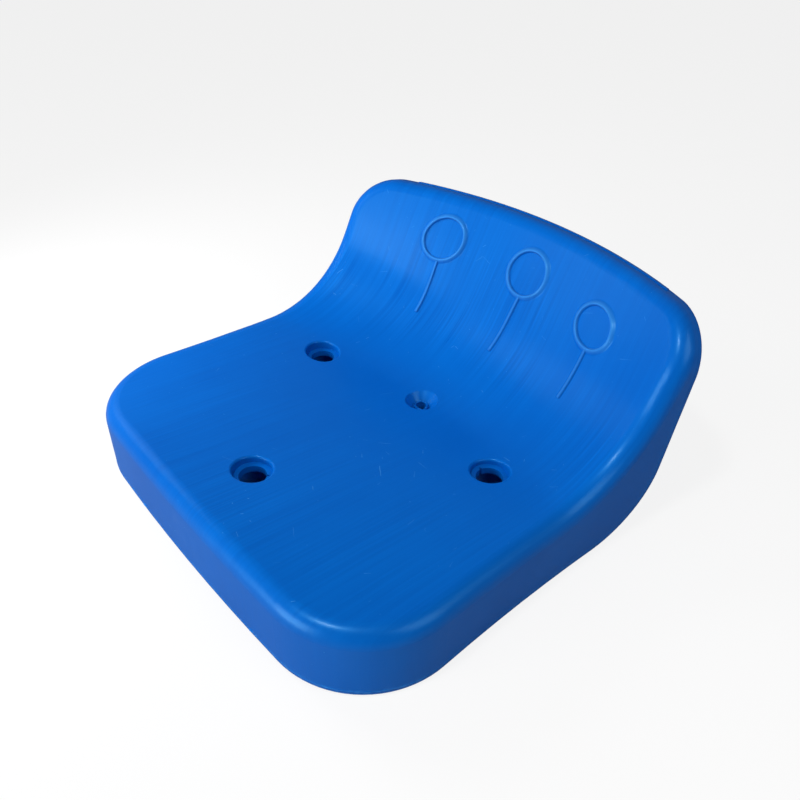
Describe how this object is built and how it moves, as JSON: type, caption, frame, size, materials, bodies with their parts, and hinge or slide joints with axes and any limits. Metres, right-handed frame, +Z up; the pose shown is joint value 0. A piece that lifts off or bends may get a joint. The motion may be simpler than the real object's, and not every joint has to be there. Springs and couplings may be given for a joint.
{
  "type": "stadium seat",
  "caption": "Low-back hollow blow-moulded seat shell with a dished sitting face, rounded rim, fixing wells and a flat base",
  "frame": {"origin": "middle of the footprint, on the flat base", "axes": "+Z up, -Y towards the front edge, X across the seat"},
  "size_m": [0.4134, 0.4106, 0.1849],
  "materials": {
    "seat_plastic": "blue polyethylene as blown, satin, with fine die lines",
    "underside_plastic": "blue polyethylene as blown, satin",
    "plug_plastic": "injection-moulded blue polyethylene"
  },
  "bodies": {
    "root": {"face_skin": "seat_plastic", "underside_skin": "underside_plastic", "blow_hole_plug": "plug_plastic"}
  },
  "joints": []
}
